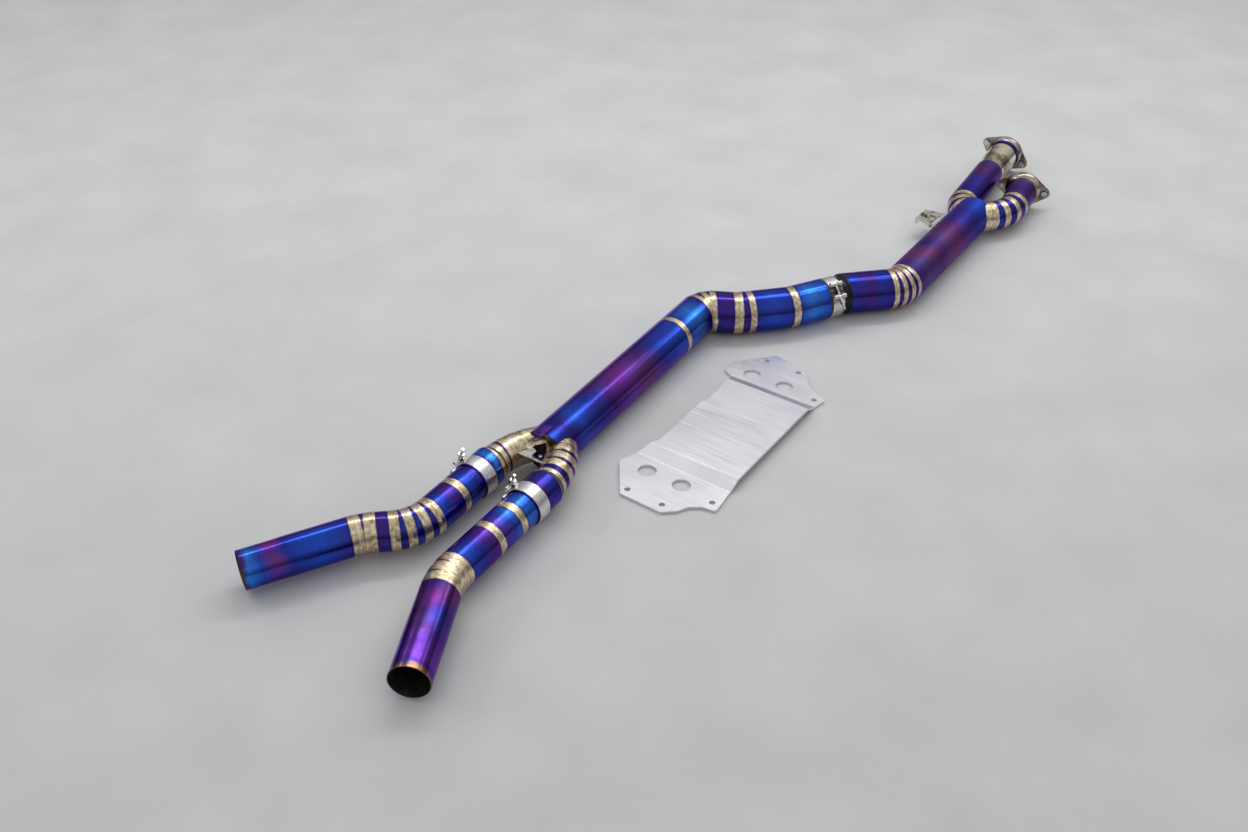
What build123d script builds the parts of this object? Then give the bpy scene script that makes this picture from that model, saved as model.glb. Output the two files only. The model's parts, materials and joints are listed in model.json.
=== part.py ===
"""Racing exhaust: a titanium mid-pipe that gathers two engine outlets into one large tube and splits it
again into two tail pipes, with band-clamped slip joints, swivel flanges and an underbody brace plate.

The layout is drawn with X along the long tube towards the engine and Y to the left, from the point where
the rear branches meet.  At the end every solid moves so that the origin is the middle of the base.
"""
from build123d import *
import math
import os

# ---------------------------------------------------------------- driving dimensions, mm and degrees
WALL = 1.2                      # tube wall
MAIN_R = 44.5                   # 89 mm main tube, outside radius
BRANCH_R = 35.0                 # 70 mm tails and inlets
TAIL_END_R = 34.5               # each tail's open end, sized to 69 mm
TAIL_SIZED = 60.0
TAIL_TAPER = 20.0
OUTLET_R = 31.75                # 63.5 mm rear outlet elbows
AXIS_Z = 45.0                   # every pipe axis lies in one level plane
FIT = 0.3                       # radial gap of a slip fit, a loose band and a swivel flange

# Main line, from the rear merge to the engine.  A run is (length, turn to the left at its end).
LONG_TUBE = 416.0
LONG_LIP = 45.0                 # the long tube reaches back this far over the outlets
LEAD_IN = 106.4
FIRST_BEND_TURN = -21.4
FIRST_BEND_RUNS = [(17.0, -21.3), (17.0, -21.3), (54.4, 19.0), (25.0, 0.0)]
CENTRE_TUBE = 93.0
CENTRE_KINK = 13.0
SOCKET_RUN = 114.0              # slotted tube, from the kink to its open end
SOCKET_NECK = 36.0              # drawn-down length under the band
SOCKET_R = 42.5
STEP_LENGTH = 4.0               # cone between the tube and its drawn-down neck
STUB_DEPTH = 44.0               # slip stub inside the socket
STUB_SHOULDER = 13.0            # bare stub between the socket and the next tube
STUB_RUN = 24.0                 # from the socket's end to the corner
STUB_TURN = -15.0
LINK_TUBE = 103.0
SECOND_BEND_TURN = 11.25
SECOND_BEND_RUNS = [(14.0, 11.25), (14.0, 11.25), (14.0, 11.25)]
FRONT_TUBE = 390.0
FRONT_LIP = 12.0

# Rear outlets, mirrored about the long tube: straight slotted sleeve, step, then a pie-cut elbow.
OUTLET_Y = 60.0
OUTLET_X = -118.0
OUTLET_FIRST_TURN = 10.0
OUTLET_RUNS = [(30.0, 7.0), (23.0, 10.0), (22.4, 9.0), (64.0, 0.0)]
SLEEVE_R = BRANCH_R + FIT + WALL
SLEEVE_STEP = 10.0
SLEEVE_FACE = {"left": -188.0, "right": -197.0}
SLOT_WIDTH = 2.5
SLOT_LENGTH = 33.0
SLOTS = 4
SLOT_LEAD = 0.5                 # each slot starts this far outside the open end

# Tails, each from inside its sleeve to the open end
SLIP_DEPTH = 50.0
RIGHT_SLIP = 88.0
RIGHT_MID = 61.0
RIGHT_LEAD = 94.0
RIGHT_BEND = [(22.0, 8.2), (22.0, 8.2)]
RIGHT_END = 200.0
LEFT_SLIP = 99.0
LEFT_LEAD = 67.0
LEFT_INNER_BEND = [(22.0, -12.75), (22.0, -12.75), (22.0, -12.75)]
LEFT_SHORT = 40.0
LEFT_OUTER_BEND = [(26.0, 10.5)]
LEFT_OUTER_TURN = 10.0
LEFT_END = 195.0

# Front inlets
LEFT_INLET = (1266.0, -327.0, 51.0)
LEFT_INLET_BEND = [(26.0, -16.5), (20.0, -16.5), (22.0, -16.0)]
LEFT_INLET_TUBE = 204.0
LEFT_CONE = 106.0
CONE_R = 39.0
LEFT_COLLAR = 12.0
COLLAR_R = 40.5
SPIGOT = 22.0                   # flared tube end under each swivel flange
RIGHT_INLET = (1266.0, -335.0, -46.0)
RIGHT_INLET_BEND = [(42.0, 9.0), (28.0, 15.0), (30.0, 14.0), (30.0, 14.0)]
RIGHT_INLET_TUBE = 90.0

# Swivel flanges and their studs
FLANGE_R = 44.6
FLANGE_DEPTH = 19.0
FLANGE_PLATE = 4.0
FLANGE_SKIN = 2.4
LIP_REACH = 1.2                 # the flared lip stands this far out of the flange face
FLARE_LENGTH = 8.0
FLARE_GAP = 1.0                 # between the flared lip and the dome around it
DOME_LIP = 1.0                  # flat ring at the dome's neck
BOLT_CIRCLE = 106.0
EAR_R = 12.0
STUD_R = 4.0
STUD_SHANK_R = 4.3              # knurled shank, pressed into the ear
STUD_OUT = 22.0
STUD_HEAD = 5.0
STUD_HEAD_R = 7.5
LEFT_FLANGE_TILT = 20.0

# Band clamps
BAND_WIDTH = 28.0
BAND_INSET = 2.0                # from the slotted end to the band
BAND_THICK = 1.5
BAND_GAP = 34.0                 # angle left open under the bolt
LOOP_R = 5.0
LOOP_SINK = 0.4                 # the rolled ends merge this far into the strap
LOOP_BORE = 3.7
PIN_R = 3.4
BOLT_R = 3.0
BOLT_TAIL = 30.0
BOLT_WINDOW = 9.0
NUT_R = 5.8
NUT_HEIGHT = 8.0
SEAT_R = 4.3                    # trunnion neck under the nut
SEAT_LENGTH = 9.0
PIN_SHORT = 4.0                 # pins are this much shorter than the band is wide
BRANCH_BOLT_ANGLE = 18.0        # from the left side of the pipe, upwards
MAIN_BOLT_ANGLE = 132.0

# Brackets at the merges
GUSSET_THICK = 3.0
GUSSET_Z = 60.0
GUSSET_OUTLINE = [(-92, -34), (-92, 34), (-40, 8), (-40, -8)]
TAB_LENGTH = 34.0
TAB_OUT = 14.0                  # the tab's reach behind the lip
TAB_THICK = 2.5
TAB_WIDTH = 24.0
TAB_Y = 6.0
TAB_HOLE_R = 4.0
TAB_HOLE_X = 9.0                # from the tab's rear edge
CAP_THICK = 2.0
REAR_CAP_X = -31.0
HANGER_FROM = 268.0             # along the front tube
HANGER_BASE = 96.0
HANGER_TIP = 56.0
HANGER_REACH = 104.0
HANGER_THICK = 3.0
HANGER_LIP = 13.0
HANGER_SLANT = 0.7              # share of the taper that falls on the rear edge
HANGER_TOE = 12.0               # the plate starts this far inside the tube's radius
HANGER_SLOT = (50.0, 8.0)
HANGER_SLOT_OUT = 15.0          # from the tube's side to the slot
HANGER_HOLE_R = 4.3
HANGER_HOLE_IN = 22.0           # from the tip to the bolt hole
HANGER_BOLT_R = 4.0
HANGER_BOLT_LENGTH = 26.0
HANGER_NUT_R = 7.5
HANGER_NUT_HEIGHT = 7.0

# Brace plate, drawn about its own middle
PLATE_CENTRE = (248.0, -222.0)
PLATE_ANGLE = -2.2
PLATE_THICK = 6.0
PLATE_RISE = 13.0
PLATE_FILLET = 7.0
PLATE_HALF = 300.0              # half the length of the strip that the outline is cut from
RAMP_OUT = 161.0
RAMP_IN = 133.0
NEAR_END = [(-150, 94), (-200, 113), (-279, 57), (-281, -32),
            (-262, -54), (-240, -66), (-226, -86), (-222, -112)]
FAR_END = [(195, -112), (208, -84), (224, -60), (254, -40), (268, -4), (280, 44), (210, 106), (174, 108)]
STRIP_RIGHT = [(-168, -106), (160, -106)]
STRIP_LEFT = [(158, 78), (52, 71), (34, 78), (-116, 77)]
BIG_HOLES = [(-196, 53), (-196, -22), (191, 53), (191, -22)]
SMALL_HOLES = [(-262, 52), (-262, -23), (-205, -94), (251, 51), (251, -22), (183, -94)]
BIG_HOLE_R = 17.5
SMALL_HOLE_R = 5.5
UP = Vector(0, 0, 1)

nodes = {}


# ---------------------------------------------------------------- helpers
def heading_vector(angle):
    """Level unit vector at an angle from +X."""
    return Vector(math.cos(math.radians(angle)), math.sin(math.radians(angle)), 0)


def route(start, heading, runs):
    """Corner points of a pipe of straight runs and turns, and the heading it ends on."""
    points = [Vector(*start)]
    for length, turn in runs:
        points.append(points[-1] + heading_vector(heading) * length)
        heading += turn
    return points, heading


def cut_plane(before, corner, after):
    """Mitre plane at a corner, facing along the pipe; square to the pipe at a free end."""
    into = (corner - before).normalized() if before else (after - corner).normalized()
    out = (after - corner).normalized() if after else into
    return Plane(origin=corner, z_dir=(into + out).normalized())


def bar(start, end, radius, reach=0.0):
    """Solid cylinder from start to end, longer by reach at both ends."""
    along = (end - start).normalized()
    length = (end - start).length + 2 * reach
    base = Plane(origin=start - along * reach, z_dir=along)
    return base * Cylinder(radius, length, align=(Align.CENTER, Align.CENTER, Align.MIN))


def mitred(points, radius, wall=WALL, before=None, after=None):
    """One tube per run, cut to meet its neighbours face to face; wall 0 gives solid bars."""
    pieces = []
    for i in range(len(points) - 1):
        start, end = points[i], points[i + 1]
        piece = bar(start, end, radius, 2 * radius)
        if wall:
            piece -= bar(start, end, radius - wall, 2 * radius + 1)
        first_cut = cut_plane(points[i - 1] if i else before, start, end)
        last_cut = cut_plane(start, end, points[i + 2] if i + 2 < len(points) else after)
        piece = split(piece, first_cut, keep=Keep.TOP)
        piece = split(piece, last_cut, keep=Keep.BOTTOM)
        pieces.append(piece.solids()[0])
    return pieces


def turned(profile, origin, heading):
    """Solid turned about a level axis from (distance along the axis, radius) points."""
    face = make_face(Polyline(*profile, close=True))
    ring = revolve(face, Axis.X)
    return Plane(origin=origin, x_dir=heading_vector(heading), z_dir=UP) * ring


def fuse(pieces):
    """Join pieces into one shape."""
    whole = pieces[0]
    for piece in pieces[1:]:
        whole += piece
    return whole


def keep(name, *shapes):
    """Store the solids of a node under its name."""
    nodes[name] = [solid for shape in shapes for solid in shape.solids()]


# ---------------------------------------------------------------- mid pipe, rear outlets to slotted socket
def outlet_route(side):
    """Corner points of one rear outlet, sleeve end to merge."""
    sign = 1 if side == "left" else -1
    runs = [(length, -sign * turn) for length, turn in OUTLET_RUNS]
    return route((OUTLET_X, sign * OUTLET_Y, AXIS_Z), -sign * OUTLET_FIRST_TURN, runs)[0]


def outlet_envelope(side):
    """Solid outline of one outlet elbow, for cutting holes to fit it."""
    return fuse(mitred(outlet_route(side), OUTLET_R, wall=0))


def slotted(tube, origin, heading, length, radius):
    """Cut the relief slots in the open end of a socket that points back along -heading."""
    frame = Plane(origin=origin, x_dir=heading_vector(heading), z_dir=UP)
    for i in range(SLOTS):
        slot = Box(length, SLOT_WIDTH, radius, align=(Align.MIN, Align.CENTER, Align.MIN))
        tube -= frame * (Rot(360 / SLOTS * (i + 0.5), 0, 0) * (Pos(-SLOT_LEAD, 0, radius / 2) * slot))
    return tube


def make_outlets(main_bore):
    """Sleeves and pie-cut elbows of both rear outlets."""
    for side in ("left", "right"):
        sign = 1 if side == "left" else -1
        points = outlet_route(side)
        face = SLEEVE_FACE[side]
        step = OUTLET_X - SLEEVE_STEP - face
        full = OUTLET_X - face + OUTLET_R
        inner = [(full, OUTLET_R - WALL), (OUTLET_X - face, OUTLET_R - WALL), (step, SLEEVE_R - WALL),
                 (0, SLEEVE_R - WALL)]
        outer = [(0, SLEEVE_R), (step, SLEEVE_R), (OUTLET_X - face, OUTLET_R), (full, OUTLET_R)]
        origin = Vector(face, sign * OUTLET_Y, AXIS_Z)
        sleeve = turned(outer + inner, origin, 0)
        sleeve_cut = cut_plane(origin, points[0], points[1])
        sleeve = split(sleeve, sleeve_cut, keep=Keep.BOTTOM)
        keep(side + "_outlet_sleeve", slotted(sleeve, origin, 0, SLOT_LENGTH, SLEEVE_R))
        rings = mitred(points, OUTLET_R, before=origin)
        half = Plane(origin=(0, 0, AXIS_Z), z_dir=(0, sign, 0))
        last = split(rings[-1], half, keep=Keep.TOP) - main_bore
        last = max(last.solids(), key=lambda solid: solid.volume)
        keep(side + "_outlet_elbow", *rings[:-1], last)


def make_mid_pipe():
    """Long tube, first bend, centre tube and the slotted socket."""
    runs = [(LONG_TUBE, 0.0), (LEAD_IN, FIRST_BEND_TURN)] + FIRST_BEND_RUNS
    runs += [(CENTRE_TUBE, CENTRE_KINK), (SOCKET_RUN, 0.0)]
    points, heading = route((0, 0, AXIS_Z), 0.0, runs)
    rear_end = points[0] - Vector(LONG_LIP, 0, 0)
    tubes = mitred([rear_end] + points[1:-1], MAIN_R, after=points[-1])
    outlets = [outlet_envelope("left"), outlet_envelope("right")]
    long_tube = fuse_cut(tubes[0], outlets)
    keep("long_tube", max(long_tube.solids(), key=lambda solid: solid.volume))
    keep("lead_in_tube", tubes[1])
    keep("first_bend_rings", *tubes[2:-1])
    keep("centre_tube", tubes[-1])

    corner = points[-2]
    back = SOCKET_RUN - SOCKET_NECK
    neck = back + STEP_LENGTH
    outer = [(-MAIN_R, MAIN_R), (back, MAIN_R), (neck, SOCKET_R), (SOCKET_RUN, SOCKET_R)]
    inner = [(SOCKET_RUN, SOCKET_R - WALL), (neck, SOCKET_R - WALL), (back, MAIN_R - WALL),
             (-MAIN_R, MAIN_R - WALL)]
    socket = turned(outer + inner, corner, heading)
    socket = split(socket, cut_plane(points[-3], corner, points[-1]), keep=Keep.TOP)
    keep("slotted_socket", slotted(socket, points[-1], heading + 180, SLOT_LENGTH, SOCKET_R))

    main_bore = bar(Vector(REAR_CAP_X, 0, AXIS_Z), Vector(LONG_TUBE / 2, 0, AXIS_Z), MAIN_R - WALL)
    make_outlets(main_bore)
    cap = bar(Vector(REAR_CAP_X - CAP_THICK, 0, AXIS_Z), Vector(REAR_CAP_X, 0, AXIS_Z), MAIN_R - WALL)
    keep("rear_merge_cap", fuse_cut(cap, outlets))
    keep("crotch_gusset", fuse_cut(gusset_blank(), outlets))
    keep("shield_tab", shield_tab())
    return points[-1], heading


def fuse_cut(shape, cutters):
    """Take each cutter away from a shape."""
    for cutter in cutters:
        shape -= cutter
    return shape


def gusset_blank():
    """Flat triangle that bridges the crotch between the outlet elbows."""
    outline = make_face(Polyline(*GUSSET_OUTLINE, close=True))
    return Pos(0, 0, GUSSET_Z) * extrude(outline, GUSSET_THICK)


def shield_tab():
    """Curved tab with a hole, on top of the long tube's lip."""
    start = Vector(-LONG_LIP - TAB_OUT, 0, AXIS_Z)
    end = start + Vector(TAB_LENGTH, 0, 0)
    shell = bar(start, end, MAIN_R + TAB_THICK) - bar(start, end, MAIN_R)
    window = Pos(start.X, TAB_Y, AXIS_Z + MAIN_R) * Box(4 * TAB_LENGTH, TAB_WIDTH, MAIN_R)
    hole = Pos(start.X + TAB_HOLE_X, TAB_Y, AXIS_Z + MAIN_R) * Cylinder(TAB_HOLE_R, MAIN_R)
    return (shell & window) - hole


# ---------------------------------------------------------------- front pipe, slip stub to inlets
def make_front_pipe(socket_end, heading):
    """Slip stub, link tube, second bend, front tube and both inlets; returns inlet ends and headings."""
    corner = socket_end + heading_vector(heading) * STUB_RUN
    runs = [(LINK_TUBE, SECOND_BEND_TURN)] + SECOND_BEND_RUNS + [(FRONT_TUBE + FRONT_LIP, 0.0)]
    points, front_heading = route(tuple(corner), heading + STUB_TURN, runs)
    slip_r = SOCKET_R - WALL - FIT
    reach = STUB_RUN + MAIN_R
    shoulder = STUB_SHOULDER + STEP_LENGTH
    outer = [(-STUB_DEPTH, slip_r), (STUB_SHOULDER, slip_r), (shoulder, MAIN_R), (reach, MAIN_R)]
    inner = [(reach, MAIN_R - WALL), (shoulder + WALL, MAIN_R - WALL),
             (STUB_SHOULDER + WALL, slip_r - WALL), (-STUB_DEPTH, slip_r - WALL)]
    stub = turned(outer + inner, socket_end, heading)
    keep("slip_stub", split(stub, cut_plane(socket_end, corner, points[1]), keep=Keep.BOTTOM))
    tubes = mitred(points, MAIN_R, before=socket_end)
    keep("link_tube", tubes[0])
    keep("second_bend_rings", *tubes[1:-1])

    left, left_heading = route(LEFT_INLET[:2] + (AXIS_Z,), LEFT_INLET[2], LEFT_INLET_BEND)
    right, right_heading = route(RIGHT_INLET[:2] + (AXIS_Z,), RIGHT_INLET[2], RIGHT_INLET_BEND)
    left_end = left[-1] + heading_vector(left_heading) * LEFT_INLET_TUBE
    right_end = right[-1] + heading_vector(right_heading) * RIGHT_INLET_TUBE
    envelopes = [fuse(mitred(left, BRANCH_R, wall=0, after=left_end)),
                 fuse(mitred(right, BRANCH_R, wall=0, after=right_end))]
    front_tube = fuse_cut(tubes[-1], envelopes)
    keep("front_tube", max(front_tube.solids(), key=lambda solid: solid.volume))
    along = heading_vector(front_heading)
    cap_start = points[-2] + along * FRONT_TUBE
    cap = bar(cap_start, cap_start + along * CAP_THICK, MAIN_R - WALL)
    keep("front_merge_cap", fuse_cut(cap, envelopes))
    bore = bar(cap_start - along * FRONT_TUBE / 2, cap_start, MAIN_R - WALL)
    divide = {"left": 1, "right": -1}
    for side, corners, end in (("left", left, left_end), ("right", right, right_end)):
        rings = mitred(corners, BRANCH_R, after=end)
        half = Plane(origin=(LEFT_INLET[0], (LEFT_INLET[1] + RIGHT_INLET[1]) / 2, AXIS_Z),
                     z_dir=(0, divide[side], 0))
        first = split(rings[0], half, keep=Keep.TOP) - bore
        first = max(first.solids(), key=lambda solid: solid.volume)
        keep(side + "_inlet_elbow", first, *rings[1:])
    keep("left_inlet_tube", *mitred([left[-1], left_end], BRANCH_R, before=left[-2]))
    keep("right_inlet_tube", *mitred([right[-1], right_end], BRANCH_R, before=right[-2]))
    keep("left_inlet_cone", turned(
        [(0, BRANCH_R), (LEFT_CONE, CONE_R), (LEFT_CONE, CONE_R - WALL), (0, BRANCH_R - WALL)],
        left_end, left_heading))
    cone_end = left_end + heading_vector(left_heading) * LEFT_CONE
    keep("left_inlet_collar", turned(
        [(0, COLLAR_R), (LEFT_COLLAR, COLLAR_R), (LEFT_COLLAR, CONE_R - WALL), (0, CONE_R - WALL)],
        cone_end, left_heading))
    collar_end = cone_end + heading_vector(left_heading) * LEFT_COLLAR
    left_face = collar_end + heading_vector(left_heading) * SPIGOT
    make_flange("left", left_face, left_heading, CONE_R, LEFT_FLANGE_TILT)
    right_face = right_end + heading_vector(right_heading) * SPIGOT
    make_flange("right", right_face, right_heading, BRANCH_R, 0.0)
    make_hanger(points[-2], front_heading)
    return {"left": (left_face, left_heading), "right": (right_face, right_heading)}


def make_flange(side, face, heading, tube_r, tilt):
    """Flared spigot, domed swivel flange and its two studs; face is the middle of the mating face."""
    lip_r = FLANGE_R - FLANGE_SKIN - FLARE_GAP
    spigot_profile = [(-SPIGOT, tube_r), (-FLARE_LENGTH, tube_r), (-LIP_REACH, lip_r), (0, lip_r),
                      (0, lip_r - WALL), (-FLARE_LENGTH + WALL / 2, tube_r - WALL), (-SPIGOT, tube_r - WALL)]
    keep(side + "_inlet_flare", turned(spigot_profile, face, heading))

    hole_r = tube_r + FIT
    back, plate, skin = -FLANGE_DEPTH, -FLANGE_PLATE - LIP_REACH, FLANGE_SKIN
    neck_r = hole_r + DOME_LIP
    outer = Polyline((-LIP_REACH, FLANGE_R), (plate, FLANGE_R))
    crown = TangentArc((plate, FLANGE_R), (back, neck_r), tangent=(-1, 0))
    rim = Polyline((back, neck_r), (back, hole_r), (back + skin, hole_r), (back + skin, neck_r))
    hollow = TangentArc((plate, FLANGE_R - skin), (back + skin, neck_r), tangent=(-1, 0))
    mouth = Polyline((plate, FLANGE_R - skin), (-LIP_REACH, FLANGE_R - skin), (-LIP_REACH, FLANGE_R))
    dome = revolve(make_face([outer, crown, rim, hollow, mouth]), Axis.X)
    circles = Sketch() + Circle(FLANGE_R)
    for x in (-BOLT_CIRCLE / 2, BOLT_CIRCLE / 2):
        circles += Pos(x, 0) * Circle(EAR_R)
    outline = make_hull(circles.edges()) - Circle(FLANGE_R - skin)
    for x in (-BOLT_CIRCLE / 2, BOLT_CIRCLE / 2):
        outline -= Pos(x, 0) * Circle(STUD_SHANK_R)
    ears = Pos(-LIP_REACH, 0, 0) * (Rot(0, -90, 0) * (Rot(0, 0, 90) * extrude(outline, FLANGE_PLATE)))
    frame = Plane(origin=face, x_dir=heading_vector(heading), z_dir=UP)
    keep(side + "_flange", frame * (Rot(tilt, 0, 0) * (dome + ears)))
    studs = []
    for y in (-BOLT_CIRCLE / 2, BOLT_CIRCLE / 2):
        shank_from = -LIP_REACH - FLANGE_PLATE
        shank = Pos(shank_from, y, 0) * (Rot(0, 90, 0) * Cylinder(
            STUD_SHANK_R, FLANGE_PLATE, align=(Align.CENTER, Align.CENTER, Align.MIN)))
        shank += Pos(-LIP_REACH, y, 0) * (Rot(0, 90, 0) * Cylinder(
            STUD_R, STUD_OUT, align=(Align.CENTER, Align.CENTER, Align.MIN)))
        head = Pos(shank_from, y, 0) * (Rot(0, -90, 0) * extrude(RegularPolygon(STUD_HEAD_R, 6), STUD_HEAD))
        studs.append(frame * (Rot(tilt, 0, 0) * (shank + head)))
    keep(side + "_flange_studs", *studs)


def make_hanger(tube_start, heading):
    """Stamped hanger welded to the left of the front tube, with its lock nut."""
    frame = Plane(origin=tube_start, x_dir=heading_vector(heading), z_dir=UP)
    base_to = HANGER_FROM + HANGER_BASE
    tip_from = HANGER_FROM + (HANGER_BASE - HANGER_TIP) * HANGER_SLANT
    tip_to = tip_from + HANGER_TIP
    tip_middle = (tip_from + tip_to) / 2
    inside = MAIN_R - HANGER_TOE
    outline = [(HANGER_FROM, inside), (base_to, inside), (tip_to, HANGER_REACH), (tip_from, HANGER_REACH)]
    plate = extrude(make_face(Polyline(*outline, close=True)), HANGER_THICK)
    cut_depth = 4 * HANGER_LIP
    slot_at = Pos(HANGER_FROM + HANGER_BASE / 2, MAIN_R + HANGER_SLOT_OUT, 0)
    slot = slot_at * extrude(SlotOverall(*HANGER_SLOT), cut_depth, both=True)
    lip_at = Pos(tip_middle, HANGER_REACH - HANGER_THICK / 2, HANGER_THICK - HANGER_LIP / 2)
    lip = lip_at * Box(HANGER_TIP, HANGER_THICK, HANGER_LIP)
    bolt_at = Pos(tip_middle, HANGER_REACH - HANGER_HOLE_IN, 0)
    hole = bolt_at * Cylinder(HANGER_HOLE_R, cut_depth)
    tube = Pos(HANGER_FROM, 0, 0) * (Rot(0, 90, 0) * Cylinder(MAIN_R, 4 * HANGER_BASE))
    keep("hanger_bracket", frame * (plate + lip - slot - hole - tube))
    nut = Pos(0, 0, HANGER_THICK) * extrude(RegularPolygon(HANGER_NUT_R, 6), HANGER_NUT_HEIGHT)
    half = HANGER_BOLT_LENGTH / 2
    shank = Cylinder(HANGER_HOLE_R, half, align=(Align.CENTER, Align.CENTER, Align.MIN))
    free_end = Cylinder(HANGER_BOLT_R, half, align=(Align.CENTER, Align.CENTER, Align.MAX))
    keep("hanger_bolt", frame * (bolt_at * (shank + free_end + nut)))


# ---------------------------------------------------------------- band clamps
def make_clamp(name, middle, heading, pipe_r, bolt_angle):
    """Strap, T-bolt, trunnion and nut of one band clamp round a slotted socket."""
    inner = pipe_r + FIT
    outer = inner + BAND_THICK
    loop_at = outer + LOOP_R - LOOP_SINK
    half_gap = math.radians(BAND_GAP / 2)
    chord_r = loop_at * math.cos(half_gap)
    chord = loop_at * math.sin(half_gap)
    frame = Plane(origin=middle, x_dir=heading_vector(heading), z_dir=UP) * Rot(bolt_angle, 0, 0)

    along = Rot(0, 90, 0)
    strap = along * (Cylinder(outer, BAND_WIDTH) - Cylinder(inner, BAND_WIDTH))
    reach = 2 * outer
    spread = reach * math.tan(half_gap)
    mouth = make_face(Polyline((0, 0), (reach, -spread), (reach, spread), close=True))
    strap -= Plane(origin=(0, 0, 0), x_dir=(0, 1, 0), z_dir=(1, 0, 0)) * extrude(mouth, BAND_WIDTH, both=True)
    for sign in (-1, 1):
        strap += Pos(0, chord_r, sign * chord) * (along * Cylinder(LOOP_R, BAND_WIDTH))
        strap -= Pos(0, chord_r, sign * chord) * (along * Cylinder(LOOP_BORE, BAND_WIDTH + 1))
    window = Pos(0, chord_r, 0) * Box(BOLT_WINDOW, 3 * LOOP_R, 2 * chord + 4 * LOOP_R)
    clearance = along * Cylinder(inner, BAND_WIDTH + 1)
    strap = strap - window - clearance
    keep(name + "_clamp_band", frame * strap)

    upward = (Align.CENTER, Align.CENTER, Align.MIN)
    low_loop = Pos(0, chord_r, -chord)
    high_loop = Pos(0, chord_r, chord)
    pin = along * Cylinder(PIN_R, BAND_WIDTH - PIN_SHORT)
    shank = Cylinder(BOLT_R, 2 * chord + BOLT_TAIL, align=upward)
    keep(name + "_clamp_t_bolt", frame * (low_loop * (shank + pin)))
    bolt_hole = Cylinder(BOLT_R, 4 * LOOP_R)
    seat = Cylinder(SEAT_R, SEAT_LENGTH, align=upward)
    keep(name + "_clamp_trunnion", frame * (high_loop * (pin + seat - bolt_hole)))
    nut = extrude(RegularPolygon(NUT_R, 6), NUT_HEIGHT) - bolt_hole
    keep(name + "_clamp_nut", frame * (high_loop * (Pos(0, 0, SEAT_LENGTH) * nut)))


# ---------------------------------------------------------------- tails
def sized_end(tube, end, heading):
    """Tail tube with its last stretch sized down a little for a slip-over pipe."""
    taper = -TAIL_SIZED - TAIL_TAPER
    profile = [(taper, BRANCH_R), (-TAIL_SIZED, TAIL_END_R), (0, TAIL_END_R), (0, TAIL_END_R - WALL),
               (-TAIL_SIZED, TAIL_END_R - WALL), (taper, BRANCH_R - WALL)]
    along = heading_vector(heading)
    rest = tube - bar(end + along * taper, end + along, BRANCH_R + 1)
    return fuse([rest, turned(profile, end, heading)])


def make_tails():
    """Both tails, each from inside its sleeve to the open end; returns the open ends."""
    start = (SLEEVE_FACE["right"] + SLIP_DEPTH, -OUTLET_Y, AXIS_Z)
    runs = [(RIGHT_SLIP, 0.0), (RIGHT_MID, 0.0), (RIGHT_LEAD, RIGHT_BEND[0][1])]
    runs += RIGHT_BEND + [(RIGHT_END, 0.0)]
    points, right_heading = route(start, 180.0, runs)
    tubes = mitred(points, BRANCH_R)
    keep("right_tail_slip_tube", tubes[0])
    keep("right_tail_middle_tube", tubes[1])
    keep("right_tail_lead_tube", tubes[2])
    keep("right_tail_bend_rings", *tubes[3:-1])
    keep("right_tail_end_tube", sized_end(tubes[-1], points[-1], right_heading))
    right_end = points[-1]

    start = (SLEEVE_FACE["left"] + SLIP_DEPTH, OUTLET_Y, AXIS_Z)
    runs = [(LEFT_SLIP, 0.0), (LEFT_LEAD, LEFT_INNER_BEND[0][1])] + LEFT_INNER_BEND
    runs += [(LEFT_SHORT, LEFT_OUTER_TURN)] + LEFT_OUTER_BEND + [(LEFT_END, 0.0)]
    points, left_heading = route(start, 180.0, runs)
    tubes = mitred(points, BRANCH_R)
    keep("left_tail_slip_tube", tubes[0])
    keep("left_tail_lead_tube", tubes[1])
    keep("left_tail_inner_bend_rings", *tubes[2:5])
    keep("left_tail_short_tube", tubes[5])
    keep("left_tail_outer_bend_ring", *tubes[6:-1])
    keep("left_tail_end_tube", sized_end(tubes[-1], points[-1], left_heading))
    return {"left": (points[-1], left_heading), "right": (right_end, right_heading)}


# ---------------------------------------------------------------- brace plate
def make_plate():
    """Stepped brace plate with lobed ends, lightening holes and bolt holes."""
    corners = NEAR_END + STRIP_RIGHT + FAR_END + STRIP_LEFT
    outline = make_face(Polyline(*corners, close=True))
    outline = fillet(outline.vertices(), PLATE_FILLET)
    blank = extrude(outline, PLATE_RISE + PLATE_THICK)
    ends = [(-RAMP_OUT, 0), (-RAMP_IN, PLATE_RISE), (RAMP_IN, PLATE_RISE), (RAMP_OUT, 0)]
    top = [(-PLATE_HALF, 0)] + ends + [(PLATE_HALF, 0)]
    side = top + [(x, z + PLATE_THICK) for x, z in reversed(top)]
    strip = extrude(Plane.XZ * make_face(Polyline(*side, close=True)), PLATE_HALF, both=True)
    plate = blank & strip
    for holes, radius in ((BIG_HOLES, BIG_HOLE_R), (SMALL_HOLES, SMALL_HOLE_R)):
        for x, y in holes:
            plate -= Pos(x, y, 0) * Cylinder(radius, 4 * PLATE_THICK)
    keep("brace_plate", Pos(*PLATE_CENTRE, 0) * (Rot(0, 0, PLATE_ANGLE) * plate))


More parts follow.
